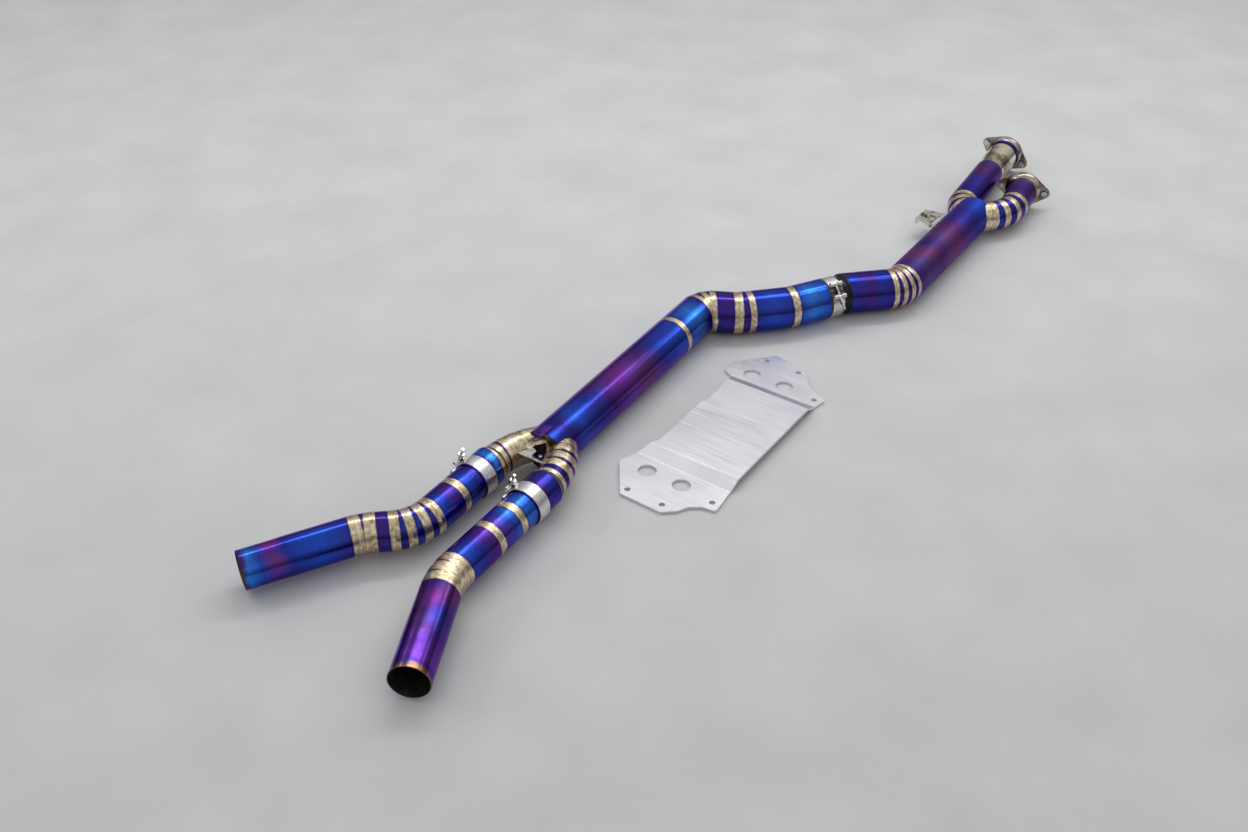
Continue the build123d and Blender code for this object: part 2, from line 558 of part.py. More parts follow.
# ---------------------------------------------------------------- assembly
socket_end, socket_heading = make_mid_pipe()
inlets = make_front_pipe(socket_end, socket_heading)
tails = make_tails()
make_plate()
band_back = BAND_INSET + BAND_WIDTH / 2
mid_band = socket_end - heading_vector(socket_heading) * band_back
make_clamp("mid", mid_band, socket_heading, SOCKET_R, MAIN_BOLT_ANGLE)
for side, sign in (("left", 1), ("right", -1)):
    middle = Vector(SLEEVE_FACE[side] + band_back, sign * OUTLET_Y, AXIS_Z)
    make_clamp(side, middle, 0.0, SLEEVE_R, BRANCH_BOLT_ANGLE)

whole = Compound([solid for solids in nodes.values() for solid in solids]).bounding_box()
shift = Pos(-(whole.min.X + whole.max.X) / 2, -(whole.min.Y + whole.max.Y) / 2, -whole.min.Z)
os.makedirs("parts", exist_ok=True)
for name, solids in nodes.items():
    moved = [shift * solid for solid in solids]
    export_step(Compound(moved) if len(moved) > 1 else moved[0], "parts/" + name + ".step")
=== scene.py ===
"""Finishes and fine parts of a racing exhaust: heat-tinted titanium tubes with straw weld bands,
ripple welds, softened clamps, flanges and brackets, and a satin brace plate."""

import json
import logging
import math
from dataclasses import dataclass, field
from enum import Enum

import bmesh
import bpy
from mathutils import Matrix, Vector


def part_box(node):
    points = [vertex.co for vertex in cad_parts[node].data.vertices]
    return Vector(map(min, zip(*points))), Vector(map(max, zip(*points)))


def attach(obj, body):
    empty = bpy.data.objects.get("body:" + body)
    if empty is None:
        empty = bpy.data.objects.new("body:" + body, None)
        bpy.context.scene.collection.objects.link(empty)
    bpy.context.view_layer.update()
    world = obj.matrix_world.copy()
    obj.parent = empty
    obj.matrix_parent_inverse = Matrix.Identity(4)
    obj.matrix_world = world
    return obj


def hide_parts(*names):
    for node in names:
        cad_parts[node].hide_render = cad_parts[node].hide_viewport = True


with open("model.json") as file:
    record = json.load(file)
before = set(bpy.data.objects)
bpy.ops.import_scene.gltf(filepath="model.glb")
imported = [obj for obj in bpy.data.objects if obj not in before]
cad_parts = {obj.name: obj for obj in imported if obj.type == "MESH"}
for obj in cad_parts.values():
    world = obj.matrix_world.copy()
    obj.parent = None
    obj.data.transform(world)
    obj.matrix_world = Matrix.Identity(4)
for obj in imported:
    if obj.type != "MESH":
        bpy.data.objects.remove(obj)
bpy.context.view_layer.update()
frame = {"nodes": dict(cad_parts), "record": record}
LOG = logging.getLogger("exhaust")
NODES = frame["nodes"]
BODY_OF = {node: body for body, nodes in frame["record"]["behaviour"]["bodies"].items() for node in nodes}
AREA_LIGHT_SHAPE = "RECTANGLE"
Colour = tuple[float, float, float]
Run = tuple[float, float]
Place = tuple[float, float, float]


class Tint(Enum):
    """Oxide colours of heated titanium, as linear base colours."""

    STRAW = (0.78, 0.66, 0.44)
    PALE = (0.92, 0.85, 0.70)
    BROWN = (0.34, 0.17, 0.06)
    ROSE = (0.20, 0.055, 0.11)
    MAGENTA = (0.26, 0.040, 0.26)
    VIOLET = (0.13, 0.040, 0.34)
    PURPLE = (0.065, 0.026, 0.21)
    INDIGO = (0.030, 0.024, 0.21)
    BLUE = (0.024, 0.040, 0.33)
    ROYAL = (0.024, 0.080, 0.52)
    SKY = (0.040, 0.22, 0.78)
    DUSK = (0.095, 0.062, 0.21)


Zones = tuple[tuple[float, Tint], ...]


@dataclass(frozen=True)
class Seam:
    """One welded joint: a plane across the pipe and the straw band beside it."""

    point: Vector
    normal: Vector
    band: float
    stretch: float


@dataclass(frozen=True)
class Line:
    """Centreline of one pipe: its corners, and the heading of each run between them."""

    corners: tuple[Vector, ...]
    headings: tuple[float, ...]

    @staticmethod
    def direction(heading: float) -> Vector:
        """Level unit vector at an angle in degrees from +X."""
        return Vector((math.cos(math.radians(heading)), math.sin(math.radians(heading)), 0.0))

    @staticmethod
    def trace(start: Vector, heading: float, runs: list[Run]) -> "Line":
        """Follow straight runs and the turn at the end of each.

        Args:
            start: First corner, metres.
            heading: Angle of the first run from +X, degrees.
            runs: Length in metres and turn to the left in degrees, one pair for each run.

        Returns:
            The line through all the corners.
        """
        corners = [start]
        headings = []
        for length, turn in runs:
            headings.append(heading)
            corners.append(corners[-1] + Line.direction(heading) * length)
            heading += turn
        return Line(tuple(corners), tuple(headings))

    def seam(self, corner: int, band: float) -> Seam:
        """The welded joint at a corner.

        Args:
            corner: Index of the corner, with a run on each side or at an end.
            band: Half width of the straw band, metres.

        Returns:
            The mitre plane there.
        """
        before = self.direction(self.headings[max(corner - 1, 0)])
        after = self.direction(self.headings[min(corner, len(self.headings) - 1)])
        normal = (before + after).normalized()
        return Seam(self.corners[corner], normal, band, 1.0 / normal.dot(after))

    def seams(self, first: int, last: int, band: float) -> list[Seam]:
        """The welded joints at a stretch of corners, both ends included."""
        return [self.seam(corner, band) for corner in range(first, last + 1)]


class Graph:
    """Short hand for building one material's node tree."""

    def __init__(self, name: str) -> None:
        """Start an empty material with a Principled shader.

        Args:
            name: The material's name.
        """
        self.material = bpy.data.materials.new(name)
        self.material.use_nodes = True
        self.tree = self.material.node_tree
        self.tree.nodes.clear()
        output = self.tree.nodes.new("ShaderNodeOutputMaterial")
        self.shader = self.tree.nodes.new("ShaderNodeBsdfPrincipled")
        self.tree.links.new(self.shader.outputs[0], output.inputs[0])
        self.place = self.tree.nodes.new("ShaderNodeTexCoord").outputs["Object"]

    def feed(self, socket: bpy.types.NodeSocket, value: object) -> None:
        """Link a socket to another one, or set its own value."""
        if isinstance(value, bpy.types.NodeSocket):
            self.tree.links.new(value, socket)
        else:
            socket.default_value = value

    def set(self, name: str, value: object) -> None:
        """Feed one input of the shader."""
        self.feed(self.shader.inputs[name], value)

    def math(self, operation: str, *values: object) -> bpy.types.NodeSocket:
        """One Math node's result.

        Args:
            operation: Blender's name of the operation.
            values: Its inputs, numbers or sockets.

        Returns:
            The result's socket.
        """
        node = self.tree.nodes.new("ShaderNodeMath")
        node.operation = operation
        for socket, value in zip(node.inputs, values):
            self.feed(socket, value)
        return node.outputs[0]

    def vector(self, operation: str, first: object, second: object) -> bpy.types.Node:
        """One Vector Math node.

        Args:
            operation: Blender's name of the operation.
            first: First input.
            second: Second input.

        Returns:
            The node, so that either output can be read.
        """
        node = self.tree.nodes.new("ShaderNodeVectorMath")
        node.operation = operation
        self.feed(node.inputs[0], first)
        self.feed(node.inputs[1], second)
        return node

    def mapped(self, location: Vector, turn: float, scale: Vector) -> bpy.types.NodeSocket:
        """Object coordinates turned about Z, then moved, then stretched.

        Args:
            location: Offset after the turn, metres.
            turn: Angle about Z, radians.
            scale: Stretch along each local axis.

        Returns:
            The mapped vector's socket.
        """
        node = self.tree.nodes.new("ShaderNodeMapping")
        self.feed(node.inputs["Vector"], self.place)
        node.inputs["Location"].default_value = location
        node.inputs["Rotation"].default_value = (0.0, 0.0, turn)
        return self.vector("MULTIPLY", node.outputs[0], scale).outputs[0]

    def noise(self, vector: object, scale: float, detail: float = 2.0) -> bpy.types.NodeSocket:
        """Noise between 0 and 1 on a vector."""
        node = self.tree.nodes.new("ShaderNodeTexNoise")
        self.feed(node.inputs["Vector"], vector)
        node.inputs["Scale"].default_value = scale
        node.inputs["Detail"].default_value = detail
        return node.outputs[0]

    def span(self, value: object, low: float, high: float, to_low: float = 0.0,
             to_high: float = 1.0) -> bpy.types.NodeSocket:
        """A value's place between two limits, held at both ends.

        Args:
            value: The value.
            low: Limit that gives to_low.
            high: Limit that gives to_high.
            to_low: Result at the first limit.
            to_high: Result at the second limit.

        Returns:
            The result's socket.
        """
        node = self.tree.nodes.new("ShaderNodeMapRange")
        for socket, number in zip(node.inputs, (value, low, high, to_low, to_high)):
            self.feed(socket, number)
        return node.outputs[0]

    def ramp(self, value: object, stops: list[tuple[float, Colour]]) -> bpy.types.NodeSocket:
        """Colour along a list of stops.

        Args:
            value: Place along the ramp, 0 to 1.
            stops: Place and linear colour of each stop, in order.

        Returns:
            The colour's socket.
        """
        node = self.tree.nodes.new("ShaderNodeValToRGB")
        self.feed(node.inputs[0], value)
        elements = node.color_ramp.elements
        while len(elements) < len(stops):
            elements.new(0.5)
        for element, (place, _) in zip(elements, stops):
            element.position = place
        for element, (_, colour) in zip(elements, stops):
            element.color = (*colour, 1.0)
        return node.outputs[0]

    def mix(self, share: object, first: object, second: object) -> bpy.types.NodeSocket:
        """Blend of two colours.

        Args:
            share: Share of the second colour.
            first: Colour where the share is 0.
            second: Colour where the share is 1.

        Returns:
            The colour's socket.
        """
        node = self.tree.nodes.new("ShaderNodeMix")
        node.data_type = "RGBA"
        self.feed(node.inputs[0], share)
        for socket, colour in zip((node.inputs[6], node.inputs[7]), (first, second)):
            self.feed(socket, (*colour, 1.0) if isinstance(colour, tuple) else colour)
        return node.outputs[2]

    def bump(self, height: object, depth: float) -> None:
        """Raise the surface by a height pattern, depth metres for a height of 1."""
        node = self.tree.nodes.new("ShaderNodeBump")
        node.inputs["Distance"].default_value = depth
        self.feed(node.inputs["Height"], height)
        self.set("Normal", node.outputs[0])


@dataclass(frozen=True)
class Patch:
    """Soft spot of another tint on a tube."""

    along: float
    angle: float
    radius: float
    tint: Tint
    strength: float = 1.0


@dataclass(frozen=True)
class HeatTint:
    """Finish of a titanium tube: oxide colours along it, straw bands at its welds, bare grey inside."""

    start: Vector
    heading: float
    length: float
    radius: float
    zones: Zones
    seams: tuple[Seam, ...] = ()
    patches: tuple[Patch, ...] = ()
    hollow: bool = True
    roughness: float = 0.165
    wall: float = 0.0012
    rim: float = 0.0016
    halo: float = 0.006
    edge_blur: float = 0.0003
    edge_wobble: float = 0.0005
    drift: float = 0.035
    straw_roughness: float = 0.09
    soot_roughness: float = 0.3
    brush_depth: float = 0.00004
    sheen: Colour = (0.80, 0.62, 0.95)
    heat_line: Colour = (0.28, 0.21, 0.12)
    drift_grain: Place = (9.0, 26.0, 26.0)
    cloud_grain: Place = (14.0, 30.0, 30.0)
    shade_grain: Place = (900.0, 30.0, 30.0)
    fine_grain: Place = (1500.0, 45.0, 45.0)
    line_grain: Place = (620.0, 55.0, 55.0)
    mottle_grain: Place = (160.0, 110.0, 110.0)

    def local(self, graph: Graph, scale: Place) -> bpy.types.NodeSocket:
        """Coordinates with X along the tube, from its start, stretched by scale."""
        turn = -math.radians(self.heading)
        offset = Matrix.Rotation(turn, 3, "Z") @ self.start
        return graph.mapped(-offset, turn, Vector(scale))

    def band_mask(self, graph: Graph, wobble: bpy.types.NodeSocket) -> bpy.types.NodeSocket:
        """Depth inside the nearest straw band, metres; negative outside every band.

        Args:
            graph: The material being built.
            wobble: Small offset that makes the edges uneven, metres.

        Returns:
            The depth's socket.
        """
        depth = None
        for seam in self.seams:
            offset = graph.vector("SUBTRACT", graph.place, seam.point).outputs[0]
            distance = graph.vector("DOT_PRODUCT", offset, seam.normal).outputs["Value"]
            inside = graph.math("SUBTRACT", seam.band, graph.math("ABSOLUTE", distance))
            depth = inside if depth is None else graph.math("MAXIMUM", depth, inside)
        return graph.math("ADD", depth, wobble)

    def tinted(self, graph: Graph, local: bpy.types.NodeSocket) -> bpy.types.NodeSocket:
        """Oxide colour of the tube between its welds.

        Args:
            graph: The material being built.
            local: Coordinates along the tube.

        Returns:
            The colour's socket.
        """
        parts = graph.tree.nodes.new("ShaderNodeSeparateXYZ")
        graph.feed(parts.inputs[0], local)
        drift = graph.noise(self.local(graph, self.drift_grain), 1.0, 3.0)
        drift = graph.span(drift, 0.3, 0.7, -self.drift, self.drift)
        place = graph.math("DIVIDE", parts.outputs[0], self.length)
        place = graph.math("ADD", place, graph.math("DIVIDE", drift, self.length * 4.0))
        colour = graph.ramp(place, [(at, tint.value) for at, tint in self.zones])
        cloud = graph.noise(self.local(graph, self.cloud_grain), 1.0, 4.0)
        colour = graph.mix(graph.span(cloud, 0.50, 0.72, 0.0, 0.55), colour, Tint.PURPLE.value)
        colour = graph.mix(graph.span(cloud, 0.46, 0.28, 0.0, 0.50), colour, Tint.ROYAL.value)
        brushed = graph.noise(self.local(graph, self.shade_grain), 1.0, 3.0)
        shade = graph.span(brushed, 0.25, 0.75, 0.82, 1.15)
        colour = graph.vector("SCALE", colour, (0.0, 0.0, 0.0))
        graph.feed(colour.inputs["Scale"], shade)
        colour = colour.outputs[0]
        across = Line.direction(self.heading + 90.0)
        for patch in self.patches:
            angle = math.radians(patch.angle)
            outward = across * math.sin(angle) + Vector((0.0, 0.0, 1.0)) * math.cos(angle)
            centre = self.start + Line.direction(self.heading) * patch.along + outward * self.radius
            reach = graph.vector("DISTANCE", graph.place, centre).outputs["Value"]
            share = graph.span(reach, patch.radius, patch.radius * 0.15, 0.0, patch.strength)
            colour = graph.mix(share, colour, patch.tint.value)
        return colour

    def straw(self, graph: Graph, depth: bpy.types.NodeSocket) -> bpy.types.NodeSocket:
        """Colour of the straw band: a brown rim, then mottled gold with grey heat lines.

        Args:
            graph: The material being built.
            depth: Depth inside the band, metres.

        Returns:
            The colour's socket.
        """
        lines = graph.noise(self.local(graph, self.line_grain), 1.0, 4.0)
        mottle = graph.noise(self.local(graph, self.mottle_grain), 1.0, 5.0)
        gold = graph.ramp(mottle, [(0.30, (0.30, 0.24, 0.14)), (0.42, (0.55, 0.45, 0.27)),
                                   (0.55, Tint.STRAW.value), (0.70, Tint.PALE.value)])
        gold = graph.mix(graph.span(lines, 0.42, 0.30, 0.0, 0.55), gold, self.heat_line)
        edge = graph.span(depth, 0.0, self.rim)
        return graph.mix(edge, Tint.BROWN.value, gold)

    def material(self, name: str) -> bpy.types.Material:
        """Build the whole finish.

        Args:
            name: The material's name.

        Returns:
            The material.
        """
        graph = Graph(name)
        local = self.local(graph, (1.0, 1.0, 1.0))
        colour = self.tinted(graph, local)
        fine = graph.noise(self.local(graph, self.fine_grain), 1.0, 3.0)
        roughness = graph.span(fine, 0.3, 0.7, self.roughness - 0.04, self.roughness + 0.07)
        if self.seams:
            wobble = graph.noise(graph.place, 90.0, 3.0)
            wobble = graph.span(wobble, 0.3, 0.7, -self.edge_wobble, self.edge_wobble)
            depth = self.band_mask(graph, wobble)
            mask = graph.span(depth, -self.edge_blur, self.edge_blur)
            halo = graph.span(depth, -self.halo, 0.0, 0.0, 0.75)
            colour = graph.mix(halo, colour, Tint.INDIGO.value)
            colour = graph.mix(mask, colour, self.straw(graph, depth))
            roughness = graph.math("ADD", roughness, graph.math("MULTIPLY", mask, self.straw_roughness))
        if self.hollow:
            radial = graph.vector("MULTIPLY", local, Vector((0.0, 1.0, 1.0))).outputs[0]
            distance = graph.vector("LENGTH", radial, (0.0, 0.0, 0.0)).outputs["Value"]
            inside = graph.math("LESS_THAN", distance, self.radius - self.wall * 0.55)
            soot = graph.ramp(graph.noise(graph.place, 60.0, 4.0),
                              [(0.3, (0.10, 0.09, 0.08)), (0.7, (0.24, 0.21, 0.19))])
            colour = graph.mix(inside, colour, soot)
            roughness = graph.math("ADD", roughness, graph.math("MULTIPLY", inside, self.soot_roughness))
        graph.set("Base Color", colour)
        graph.set("Metallic", 1.0)
        graph.set("Roughness", roughness)
        graph.set("Specular Tint", (*self.sheen, 1.0))
        graph.bump(fine, self.brush_depth)
        return graph.material


@dataclass(frozen=True)
class BareMetal:
    """Finish of steel or aluminium: brushed or polished, with an optional second colour in clouds."""

    colour: Colour
    cloud: Colour
    roughness: float
    grain: Place
    heading: float = 0.0
    cloud_scale: float = 40.0
    cloud_from: float = 0.45
    cloud_to: float = 0.7
    grain_depth: float = 0.00005
    shade: float = 0.12

    def material(self, name: str) -> bpy.types.Material:
        """Build the whole finish.

        Args:
            name: The material's name.

        Returns:
            The material.
        """
        graph = Graph(name)
        turn = -math.radians(self.heading)
        grain = graph.noise(graph.mapped(Vector((0.0, 0.0, 0.0)), turn, Vector(self.grain)), 1.0, 4.0)
        cloud = graph.noise(graph.place, self.cloud_scale, 4.0)
        colour = graph.mix(graph.span(cloud, self.cloud_from, self.cloud_to), self.colour, self.cloud)
        lighter = graph.vector("SCALE", colour, (0.0, 0.0, 0.0))
        graph.feed(lighter.inputs["Scale"], graph.span(grain, 0.3, 0.7, 1.0 - self.shade, 1.0 + self.shade))
        graph.set("Base Color", lighter.outputs[0])
        graph.set("Metallic", 1.0)
        graph.set("Roughness", graph.span(grain, 0.3, 0.7, self.roughness * 0.8, self.roughness * 1.25))
        graph.bump(grain, self.grain_depth)
        return graph.material


def dress(node: str, material: bpy.types.Material) -> None:
    """Give a piece that comes from the frame its finish."""
    mesh = NODES[node].data
    mesh.materials.clear()
    mesh.materials.append(material)
    LOG.info("%s dressed with %s", node, material.name)


def publish(mesh: bmesh.types.BMesh, name: str, body: str, material: bpy.types.Material,
            smooth_angle: float = 35.0, round_level: float = 0.0) -> bpy.types.Object:
    """Turn a finished mesh into a piece that rides on a body.

    Args:
        mesh: The mesh, in the frame's own place; it is freed.
        name: The piece's name.
        body: The body that it rides on.
        material: Its finish.
        smooth_angle: Edges sharper than this stay sharp, degrees.
        round_level: Least upward share of a face's normal beside an edge that may be rounded.

    Returns:
        The new object.
    """
    bmesh.ops.recalc_face_normals(mesh, faces=mesh.faces)
    weight = mesh.edges.layers.float.new("bevel_weight_edge")
    for face in mesh.faces:
        face.smooth = True
    for edge in mesh.edges:
        edge.smooth = len(edge.link_faces) == 2 and edge.calc_face_angle(0.0) < math.radians(smooth_angle)
        level = max((abs(face.normal.z) for face in edge.link_faces), default=0.0)
        edge[weight] = 0.0 if edge.smooth or level < round_level else 1.0
    data = bpy.data.meshes.new(name)
    mesh.to_mesh(data)
    mesh.free()
    data.materials.append(material)
    piece = bpy.data.objects.new(name, data)
    bpy.context.scene.collection.objects.link(piece)
    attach(piece, body)
    LOG.info("%s made, %d faces", name, len(data.polygons))
    return piece


def soften(node: str, name: str, material: bpy.types.Material, width: float, segments: int = 2,
           smooth_angle: float = 35.0, round_level: float = 0.0) -> bpy.types.Object:
    """Replace a piece of the frame by a copy with rounded edges.

    Args:
        node: The node to stand for.
        name: The new piece's name.
        material: Its finish.
        width: How far each edge is rounded, metres.
        segments: Steps across each rounding.
        smooth_angle: Edges sharper than this are rounded, degrees.
        round_level: Least upward share of a face's normal beside an edge that is rounded.

    Returns:
        The new object.
    """
    mesh = bmesh.new()
    mesh.from_mesh(NODES[node].data)
    bmesh.ops.remove_doubles(mesh, verts=mesh.verts, dist=1e-6)
    bmesh.ops.dissolve_limit(mesh, angle_limit=math.radians(1.0), verts=mesh.verts, edges=mesh.edges)
    piece = publish(mesh, name, BODY_OF[node], material, smooth_angle, round_level)
    bevel = piece.modifiers.new("round", "BEVEL")
    bevel.width = width
    bevel.segments = segments
    bevel.limit_method = "WEIGHT"
    bevel.harden_normals = True
    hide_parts(node)
    return piece


def spun(profile: list[tuple[float, float]], steps: int) -> bmesh.types.BMesh:
    """Closed ring or solid turned about Z from an outline in the XZ plane.

    Args:
        profile: Radius and height of each outline point; the outline closes on itself.
        steps: Sides of the turned shape.

    Returns:
        The turned mesh.
    """
    mesh = bmesh.new()
    corners = [mesh.verts.new((radius, 0.0, height)) for radius, height in profile]
    edges = [mesh.edges.new((first, second)) for first, second in zip(corners, corners[1:] + corners[:1])]
    bmesh.ops.spin(mesh, geom=corners + edges, cent=(0.0, 0.0, 0.0), axis=(0.0, 0.0, 1.0),
                   angle=math.tau, steps=steps, use_merge=True)
    bmesh.ops.remove_doubles(mesh, verts=mesh.verts, dist=1e-7)
    return mesh


def join(target: bmesh.types.BMesh, source: bmesh.types.BMesh, place: Matrix) -> None:
    """Add one mesh to another at a place, and free it."""
    bmesh.ops.transform(source, matrix=place, verts=source.verts)
    carrier = bpy.data.meshes.new("carrier")
    source.to_mesh(carrier)
    source.free()
    target.from_mesh(carrier)
    bpy.data.meshes.remove(carrier)


@dataclass(frozen=True)
class WeldBead:
    """Rippled weld that stands a little proud of the tube, all round a seam."""

    width: float = 0.0032
    height: float = 0.00042
    pitch: float = 0.0024
    sides: int = 8
    sink: float = 0.0002
    dip: float = 0.55
    lean: float = 0.16

    def ring(self, seam: Seam, radius: float) -> bmesh.types.BMesh:
        """One bead round a tube at a seam.

        Args:
            seam: The seam's plane.
            radius: Outside radius of the tube, metres.

        Returns:
            The bead in its place.
        """
        ripples = round(math.tau * radius / self.pitch)
        section = []
        for side in range(self.sides):
            angle = math.tau * side / self.sides
            reach = radius - self.sink + self.height * math.cos(angle)
            section.append((reach, self.width / 2 * math.sin(angle)))
        mesh = spun(section, ripples * 2)
        for vert in mesh.verts:
            angle = math.atan2(vert.co.y, vert.co.x)
            wave = 0.5 + 0.5 * math.cos(angle * ripples)
            reach = math.hypot(vert.co.x, vert.co.y)
            lift = 1.0 - self.dip * (1.0 - wave) * self.height / reach
            vert.co.x *= lift
            vert.co.y *= lift
            vert.co.z += self.width * self.lean * (wave - 0.5)
        up = Vector((0.0, 0.0, 1.0))
        across = up.cross(seam.normal)
        turn = Matrix((across * seam.stretch, up, seam.normal)).transposed().to_4x4()
        place = Matrix.Translation(seam.point) @ turn
        bmesh.ops.transform(mesh, matrix=place, verts=mesh.verts)
        return mesh

    def group(self, name: str, seams: list[Seam], radius: float, body: str,
              material: bpy.types.Material) -> None:
        """All the beads of one bend as one piece.

        Args:
            name: The piece's name.
            seams: The seams to weld.
            radius: Outside radius of the tubes, metres.
            body: The body that they ride on.
            material: The beads' finish.
        """
        whole = bmesh.new()
        for seam in seams:
            join(whole, self.ring(seam, radius), Matrix.Identity(4))
        publish(whole, name, body, material, 60.0)


STRAP = BareMetal((0.80, 0.79, 0.77), (0.60, 0.58, 0.55), 0.27, (60.0, 60.0, 500.0), cloud_scale=30.0,
                  grain_depth=0.00001, shade=0.05)
BOLT = BareMetal((0.80, 0.78, 0.74), (0.22, 0.20, 0.18), 0.13, (300.0, 300.0, 300.0), cloud_scale=120.0)
FLANGE = BareMetal((0.56, 0.50, 0.42), (0.20, 0.12, 0.06), 0.11, (90.0, 90.0, 90.0), cloud_scale=22.0,
                   cloud_from=0.42, cloud_to=0.62)
WORN_FLANGE = BareMetal((0.52, 0.48, 0.46), (0.22, 0.14, 0.11), 0.26, (120.0, 120.0, 120.0), cloud_scale=45.0)
BRACKET = BareMetal((0.72, 0.69, 0.63), (0.16, 0.12, 0.08), 0.09, (80.0, 80.0, 80.0), cloud_scale=42.0,
                    cloud_from=0.5, cloud_to=0.6)
WELD = BareMetal((0.66, 0.55, 0.36), (0.40, 0.32, 0.22), 0.26, (500.0, 500.0, 500.0), cloud_scale=160.0)
PLATE = BareMetal((0.80, 0.80, 0.83), (0.72, 0.72, 0.76), 0.36, (420.0, 9.0, 9.0), heading=-2.2,
                  cloud_scale=7.0, cloud_from=0.4, cloud_to=0.65, grain_depth=0.00003, shade=0.06)
# Near-black stub: painted shadow in the gap under the overhanging end of the link tube.
STUB_PAINTED_SHADOW = BareMetal((0.030, 0.026, 0.030), (0.05, 0.04, 0.06), 0.34, (90.0, 90.0, 90.0))
CONE = BareMetal((0.78, 0.71, 0.53), (0.22, 0.18, 0.10), 0.10, (70.0, 70.0, 70.0), cloud_scale=17.0,
                 cloud_from=0.5, cloud_to=0.62)


@dataclass
class Finishes:
    """Materials that several pieces share."""

    strap: bpy.types.Material = field(init=False)
    bolt: bpy.types.Material = field(init=False)
    flange: bpy.types.Material = field(init=False)
    worn_flange: bpy.types.Material = field(init=False)
    bracket: bpy.types.Material = field(init=False)
    weld: bpy.types.Material = field(init=False)
    plate: bpy.types.Material = field(init=False)

    def __post_init__(self) -> None:
        """Make each shared material."""
        self.strap = STRAP.material("satin_strap")
        self.bolt = BOLT.material("bolt_steel")
        self.flange = FLANGE.material("bronzed_flange")
        self.worn_flange = WORN_FLANGE.material("worn_flange")
        self.bracket = BRACKET.material("bright_bracket")
        self.weld = WELD.material("straw_weld")
        self.plate = PLATE.material("brushed_plate")


